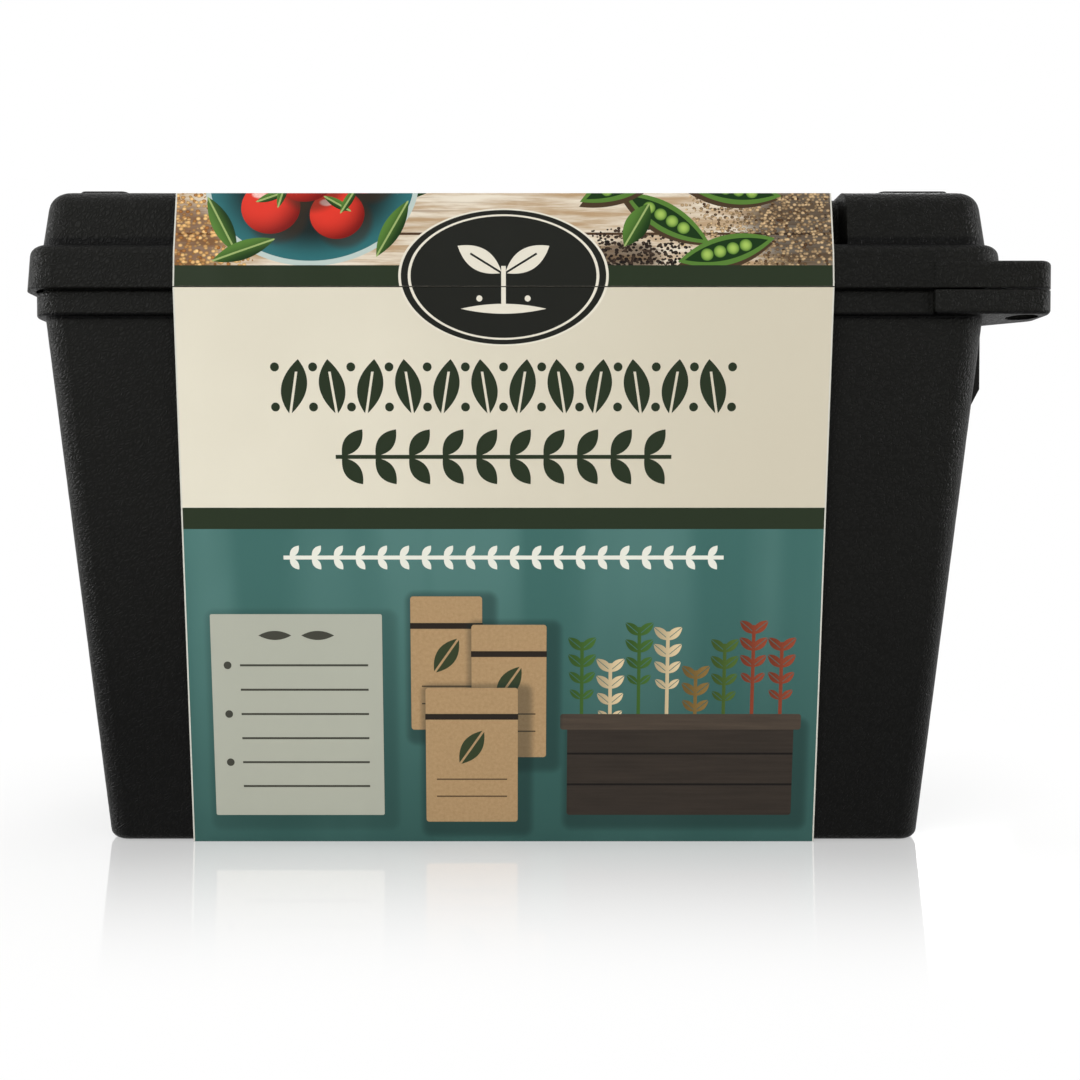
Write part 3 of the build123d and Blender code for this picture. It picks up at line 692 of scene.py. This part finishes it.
# %% Kraft packets
flap, flap_line, rule_pitch = 7.6, 1.4, 5.0
kraft = card.mix(card.noise(card.join(u, v), 1.1, 3.0, 0.7), srgb(150, 120, 84), srgb(186, 156, 116))
packets = ((-26.0, -6.0, 33.0, 71.0), (-9.0, 12.0, 25.0, 63.0), (-22.0, 4.0, 6.0, 45.0))
for low_u, high_u, low_v, high_v in packets:
    ink = cast(ink, low_u, high_u, low_v, high_v)
    ink = panel(ink, (low_u, high_u, low_v, high_v), kraft)
    line = (low_u, high_u, high_v - flap - flap_line, high_v - flap)
    ink = panel(ink, line, srgb(40, 34, 28), 0.0)
    p, q = turned(u - (low_u + high_u) / 2, v - (low_v + (high_v - low_v) * 0.56), 55)
    ink = paint(ink, (leaf(p, q, 6.0, 2.8) > 0) * (1 - (abs(q) < 0.3)), srgb(52, 62, 40))
    rules = (abs(repeat(v - low_v, rule_pitch)) < 0.2) * between(v, low_v + 3.5, low_v + 14.0)
    ink = paint(ink, rules * between(u, low_u + 3.0, high_u - 3.0), srgb(84, 66, 46))
print("packets:", len(packets))

# %% [markdown]
# ### Note panel
# The note panel is thin paper, so a little of the teal shows through. Its heading is a pair of
# leaves, and below it every second line starts with a dot.

# %% Note panel
note = (-82.0, -34.0, 8.0, 66.0)
line_pitch, half_line, dot_radius, dot_u = 7.0, 0.3, 1.1, -77.5
ink = cast(ink, *note, 0.3)
paper = card.mix(card.fade(u - v * 0.5, 0, 80), srgb(176, 177, 163), srgb(163, 164, 150))
ink = panel(ink, note, card.mix(0.06, paper, ink), 0.5)
written = between(v, 13.0, 55.0)
lines = (abs(repeat(v - 6.0, line_pitch)) < half_line) * written * between(u, -74.0, -38.0)
heading = leaf(abs(u + 58.0) - 6.0, v - 60.0, 4.6, 1.3) > 0
dots = disc(u - dot_u, repeat(v - 2.5, 2 * line_pitch), dot_radius, dot_radius) < 1
ink = paint(ink, lines | heading | (dots * written), srgb(66, 66, 58))
print("note panel;", len(card.tree.nodes), "nodes in the print")

# %% [markdown]
# ## Board under the ink
# Only the outer faces are printed, and a pale line is left along both cut edges. The die-cut edges
# show white board, and the inside is grey. The coating is glossy but the board under it isn't flat:
# slow waves along the panel break the reflected lamps into upright streaks, and a fine tooth keeps
# the gloss from looking like glass.

# %% Faces, edges and gloss
edge_line_u, foot_fold_z = 88.5, 0.4
ink = paint(ink, abs(u) > edge_line_u, srgb(206, 204, 194))
facing_x, facing_y, facing_z = card.facing()
on_top = (facing_z > 0.3) * (v > rule_high[1])
below = (facing_z < -0.3) * (z < foot_fold_z)
outward = (facing_y * side > 0.2) | on_top | below
board = card.mix(abs(facing_x) > 0.5, srgb(170, 166, 156), srgb(224, 221, 212))
tooth = card.noise(card_spot, 2.4)
waves = card.noise(card.join(u * 0.03, v * 0.004), 1.0)
card.wire(
    Base_Color=card.mix(outward, board, ink),
    Coat_Weight=outward * 0.07,
    Roughness=card.fade(tooth, 0.3, 0.7, 0.32, 0.42),
    Normal=card.bump(waves, 2.2, normal=card.bump(tooth, 0.006)),
)
card.give("sleeve_lower", "sleeve_upper")

# %% [markdown]
# ## Kraft dividers
# Dividers are stiff kraft board with a printed black tab and ruled notes. Kraft is made of long
# brown fibres: two noises, one coarse and one fine, give the flecks, and a thin bump gives the tooth.

# %% Divider board
tab_foot_z, half_print = 126.6, 36.0
divider = Finish("divider_kraft", Specular_IOR_Level=0.25)
spot = divider.place()
x, y, z = divider.split(spot)
facing_x = divider.facing()[0]
fibres = divider.noise(divider.join(y * 0.5, z * 1.6, x * 0.2), 1.0, 4.0, 0.7)
flecks = divider.fade(divider.noise(spot, 2.2), 0.62, 0.7)
kraft = divider.mix(fibres, srgb(158, 126, 88), srgb(196, 164, 122))
kraft = divider.mix(flecks * 0.5, kraft, srgb(118, 88, 58))
ruled = (abs(repeat(z, 8.0)) < 0.18) * between(z, 18.0, 104.0) * (abs(facing_x) > 0.8)
header = (abs(z - 112.0) < 3.0) * (facing_x > 0.8)
kraft = divider.mix((ruled | header) * (abs(y) < half_print), kraft, srgb(72, 56, 40))
kraft = divider.mix(z > tab_foot_z, kraft, srgb(32, 31, 29))
divider.wire(
    Base_Color=kraft,
    Roughness=divider.fade(fibres, 0.3, 0.7, 0.68, 0.84),
    Normal=divider.bump(fibres, 0.05),
)
divider.give(*[name for name in nodes if name.startswith("divider")])

# %% [markdown]
# ## Seed envelopes
# The envelopes are thinner, paler kraft paper with a folded flap. Their front has a dark line, a leaf
# emblem and four writing lines, and the paper cockles slightly, which a slow bump shows.

# %% Envelope paper
emblem_z, flap_line_z, half_print = 92.0, (70.0, 73.0), 30.0
envelope = Finish("envelope_kraft", Specular_IOR_Level=0.25)
spot = envelope.place()
x, y, z = envelope.split(spot)
fibres = envelope.noise(envelope.join(y * 0.8, z * 2.0, x * 0.3), 1.0, 4.0, 0.7)
lines = (abs(repeat(z, 12.0)) < 0.2) * between(z, 16.0, 58.0) * (abs(y) < half_print)
emblem = leaf(z - emblem_z, y, 10.0, 4.6) > 0
printed = (envelope.facing()[0] < -0.8) * (between(z, *flap_line_z) | lines | emblem)
paper = envelope.mix(fibres, srgb(178, 146, 104), srgb(206, 176, 132))
cockle = envelope.noise(spot, 0.05, 1.0)
envelope.wire(
    Base_Color=envelope.mix(printed, paper, srgb(62, 50, 38)),
    Roughness=envelope.fade(fibres, 0.3, 0.7, 0.66, 0.82),
    Normal=envelope.bump(cockle, 1.2, normal=envelope.bump(fibres, 0.04)),
)
envelope.give(*[name for name in nodes if name.startswith("envelope")])

# %% [markdown] ## Floor The object stands on a pale studio floor.

# %% A sheet for the floor
reach, squares = 3.0, 6
steps = [reach * (i / squares * 2 - 1) for i in range(squares + 1)]
row = len(steps)
corners = [(a, b, 0.0) for b in steps for a in steps]
starts = [j * row + i for j in range(squares) for i in range(squares)]
sheet = bpy.data.meshes.new("floor")
sheet.from_pydata(corners, [], [(s, s + 1, s + row + 1, s + row) for s in starts])
floor = bpy.data.objects.new("floor", sheet)
bpy.context.collection.objects.link(floor)
print("floor", 2 * reach, "m wide")

# %% [markdown]
# ### Shadow, polish and white
# Near the object the floor keeps the shadow, and further out a camera ray sees plain white, so no
# horizon shows. A faint polish mirrors the object close by. It follows Fresnel's law, as lacquer
# does, but is held down so that it doesn't turn into a mirror when it is seen from low down.
# Distance from the can's own foot drives both fades.

# %% A pale floor that keeps the shadow
foot_half_x, foot_half_y = 117.0, 48.0
white_from, polish_to, polish_most = 150.0, 106.0, 0.22
white, off_white = (1.0, 1.0, 1.0), (0.92, 0.92, 0.91, 1.0)
ground = Finish("studio_floor", Roughness=0.6, Specular_IOR_Level=0.2, Base_Color=off_white)
x, y = ground.split(ground.place())[:2]
away_x, away_y = (abs(x) - foot_half_x) | 0.0, (abs(y) - foot_half_y) | 0.0
away = (away_x * away_x + away_y * away_y).apply("SQRT")
matt = Wire(ground, ground.shader.outputs[0])
glow = ground.node("ShaderNodeEmission", {}, {"Color": white, "Strength": 1.0})
mirror = ground.node("ShaderNodeBsdfGlossy", {}, {"Color": white, "Roughness": 0.06})
glowing = ground.seen() * ground.fade(away, 0.0, white_from, 0.6, 1.0)
pale = ground.node("ShaderNodeMixShader", {}, {0: glowing, 1: matt, 2: glow})
grazing = ground.node("ShaderNodeFresnel", {}, {"IOR": 1.45}) & polish_most
polish = grazing * ground.fade(away, 0.0, polish_to, 1.5, 0.0)
ground.show(ground.node("ShaderNodeMixShader", {}, {0: polish, 1: pale, 2: mirror}))
sheet.materials.append(ground.material)
print("floor turns white", white_from, "mm from the foot")

# %% [markdown]
# ## World
# The world is plain white to the camera and in reflections, and dimmer as light, so that colours
# stay as written. Two backgrounds and the same test of rays as for the floor do it.

# %% White to look at, dim as light
world = bpy.data.worlds.new("studio")
bpy.context.scene.world = world
world.use_nodes = True
world.node_tree.nodes.remove(world.node_tree.nodes["Background"])
sky = Tree(world.node_tree)
sky_light = 0.36
dim = sky.node("ShaderNodeBackground", {}, {"Color": white, "Strength": sky_light})
bright = sky.node("ShaderNodeBackground", {}, {"Color": white, "Strength": 1.0})
sky.show(sky.node("ShaderNodeMixShader", {}, {0: sky.seen(), 1: dim, 2: bright}))
print("world gives", sky_light, "of full white as light")

# %% [markdown]
# ## Lamps
# One large soft lamp stands at the front left, a weaker one at the right, one overhead and one
# behind. Black plastic shows its shape through highlights alone, so two narrow upright lamps stand
# at the ends and draw a bright line down each rounded corner. Each lamp is given by the share of
# full white that it adds, and its watts are worked out from its distance.

# %% Lamps
target = Vector((0.0, 0.0, 0.09))


def lamp(name, place, wide, tall, share, cosine):
    """A soft lamp that adds share of full white to a face that it meets at that cosine."""
    light = bpy.data.lights.new(name, "AREA")
    light.shape, light.size, light.size_y = "RECTANGLE", wide, tall
    made = bpy.data.objects.new(name, light)
    bpy.context.collection.objects.link(made)
    made.location = place
    aim = target - made.location
    made.rotation_euler = aim.to_track_quat("-Z", "Y").to_euler()
    light.energy = share * math.pi ** 2 * aim.length ** 2 / cosine
    print(name, round(light.energy, 1), "W at", round(aim.length, 2), "m")


lamp("key", (-1.0, -1.25, 0.95), wide=0.9, tall=0.9, share=0.30, cosine=0.68)
lamp("fill", (1.3, -1.1, 0.6), wide=0.8, tall=0.8, share=0.10, cosine=0.6)
lamp("overhead", (0.0, 0.2, 1.6), wide=0.9, tall=0.9, share=0.28, cosine=1.0)
lamp("rear", (0.4, 1.5, 0.9), wide=0.9, tall=0.9, share=0.30, cosine=0.8)
lamp("left_strip", (-1.2, -0.03, 0.3), wide=0.16, tall=0.7, share=0.52, cosine=1.0)
lamp("right_strip", (1.2, -0.03, 0.3), wide=0.16, tall=0.7, share=0.54, cosine=1.0)

# %% [markdown]
# ## Camera
# The camera stands a little above half the box's height, close in front, and looks almost level.
# A small shift moves the box sideways in the view without turning the camera.

# %% Camera
lens = bpy.data.cameras.new("camera")
lens.lens, lens.sensor_width = 36.97, 36.0
lens.shift_x = 0.0324
camera = bpy.data.objects.new("camera", lens)
bpy.context.collection.objects.link(camera)
camera.location = (-0.0025, -0.365, 0.0932)
camera.rotation_euler = (math.radians(88.8), 0.0, 0.0)
bpy.context.scene.camera = camera
bpy.context.scene.view_settings.view_transform = "Standard"
print("camera", tuple(round(v, 4) for v in camera.location))

# %% [markdown]
